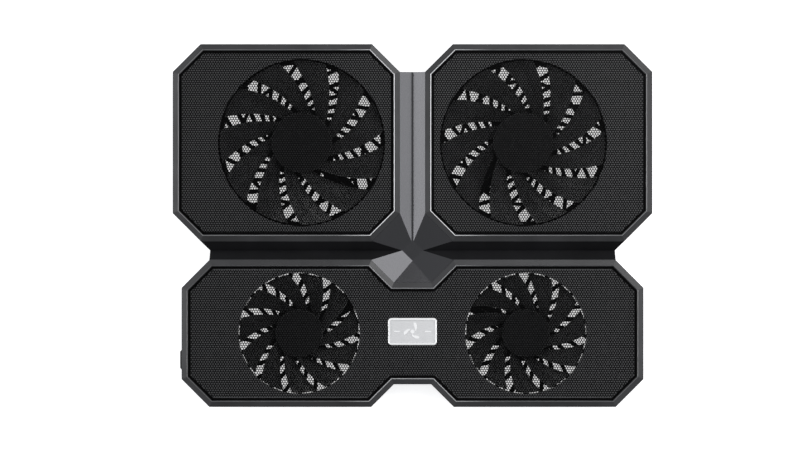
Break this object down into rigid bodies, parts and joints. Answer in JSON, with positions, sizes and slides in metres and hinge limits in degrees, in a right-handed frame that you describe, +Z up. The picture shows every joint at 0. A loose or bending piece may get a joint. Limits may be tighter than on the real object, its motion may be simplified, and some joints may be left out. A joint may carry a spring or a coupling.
{
  "type": "laptop cooling pad",
  "caption": "Flat laptop cooling pad with fans under perforated metal, a V-shaped valley between its panels, and fold-out rear legs.",
  "frame": {"origin": "centre of the footprint, at the level the rubber feet stand on", "axes": "+X to the right, +Y to the rear edge with the fold-out legs, +Z up through the mesh that the laptop rests over"},
  "size_m": [0.38, 0.2874, 0.024],
  "materials": {
    "housing": "satin moulded black",
    "trim_grey": "satin gunmetal paint",
    "mesh_black": "powder-coated black",
    "badge_white": "glossy white",
    "badge_silver": "fine brushed",
    "fan_black": "moulded black",
    "steel": "plated",
    "magnet": "bonded ferrite",
    "brass": "sintered",
    "lamination": "stamped laminations",
    "copper_wire": "enamelled winding",
    "lead_sheath": "smooth sheath",
    "rubber": "matte",
    "white_plastic": "moulded",
    "circuit_board": "solder mask"
  },
  "bodies": {
    "housing_body": {"badge_bezel": "badge_white", "badge_plate": "badge_silver", "board_parts": "white_plastic", "bottom_shell": "housing", "centre_trim": "trim_grey", "control_board": "circuit_board", "front_left_bearing": "brass", "front_left_coils": "copper_wire", "front_left_lead": "lead_sheath", "front_left_motor_base": "fan_black", "front_left_stator_core": "lamination", "front_right_bearing": "brass", "front_right_coils": "copper_wire", "front_right_lead": "lead_sheath", "front_right_motor_base": "fan_black", "front_right_stator_core": "lamination", "leg_pin_left": "steel", "leg_pin_right": "steel", "mesh_front": "mesh_black", "mesh_left": "mesh_black", "mesh_right": "mesh_black", "rear_left_bearing": "brass", "rear_left_coils": "copper_wire", "rear_left_lead": "lead_sheath", "rear_left_motor_base": "fan_black", "rear_left_stator_core": "lamination", "rear_right_bearing": "brass", "rear_right_coils": "copper_wire", "rear_right_lead": "lead_sheath", "rear_right_motor_base": "fan_black", "rear_right_stator_core": "lamination", "rubber_feet": "rubber", "shell_screws": "steel", "small_screws": "steel", "switch_board": "circuit_board", "switch_body": "white_plastic", "switch_lead": "lead_sheath", "top_frame": "housing", "usb_board": "circuit_board", "usb_lead": "lead_sheath", "usb_sockets": "steel", "usb_tongues": "white_plastic"},
    "rear_left_fan": {"rear_left_rotor": "fan_black", "rear_left_shaft": "steel", "rear_left_magnet": "magnet"},
    "rear_right_fan": {"rear_right_rotor": "fan_black", "rear_right_shaft": "steel", "rear_right_magnet": "magnet"},
    "front_left_fan": {"front_left_rotor": "fan_black", "front_left_shaft": "steel", "front_left_magnet": "magnet"},
    "front_right_fan": {"front_right_rotor": "fan_black", "front_right_shaft": "steel", "front_right_magnet": "magnet"},
    "leg_left_body": {"leg_left": "housing", "leg_tip_left": "rubber"},
    "leg_right_body": {"leg_right": "housing", "leg_tip_right": "rubber"},
    "button_body": {"mode_button": "housing", "switch_plunger": "white_plastic"}
  },
  "joints": [
    {"name": "rear_left_spin", "type": "hinge", "parent": "housing_body", "child": "rear_left_fan", "pos_m": [-0.088, 0.06573, 0.012], "axis": [0, 0, 1], "continuous": true},
    {"name": "rear_right_spin", "type": "hinge", "parent": "housing_body", "child": "rear_right_fan", "pos_m": [0.088, 0.06573, 0.012], "axis": [0, 0, 1], "continuous": true},
    {"name": "front_left_spin", "type": "hinge", "parent": "housing_body", "child": "front_left_fan", "pos_m": [-0.09, -0.08553, 0.012], "axis": [0, 0, 1], "continuous": true},
    {"name": "front_right_spin", "type": "hinge", "parent": "housing_body", "child": "front_right_fan", "pos_m": [0.09, -0.08553, 0.012], "axis": [0, 0, 1], "continuous": true},
    {"name": "leg_left_fold", "type": "hinge", "parent": "housing_body", "child": "leg_left_body", "pos_m": [-0.172, 0.09795, 0.0062], "axis": [1, 0, 0], "range_deg": [0, 100]},
    {"name": "leg_right_fold", "type": "hinge", "parent": "housing_body", "child": "leg_right_body", "pos_m": [0.172, 0.09795, 0.0062], "axis": [1, 0, 0], "range_deg": [0, 100]},
    {"name": "button_push", "type": "slide", "parent": "housing_body", "child": "button_body", "axis": [1, 0, 0], "range_m": [0, 0.0006], "stiffness_N_per_m": 800, "springref_m": -0.0005}
  ]
}
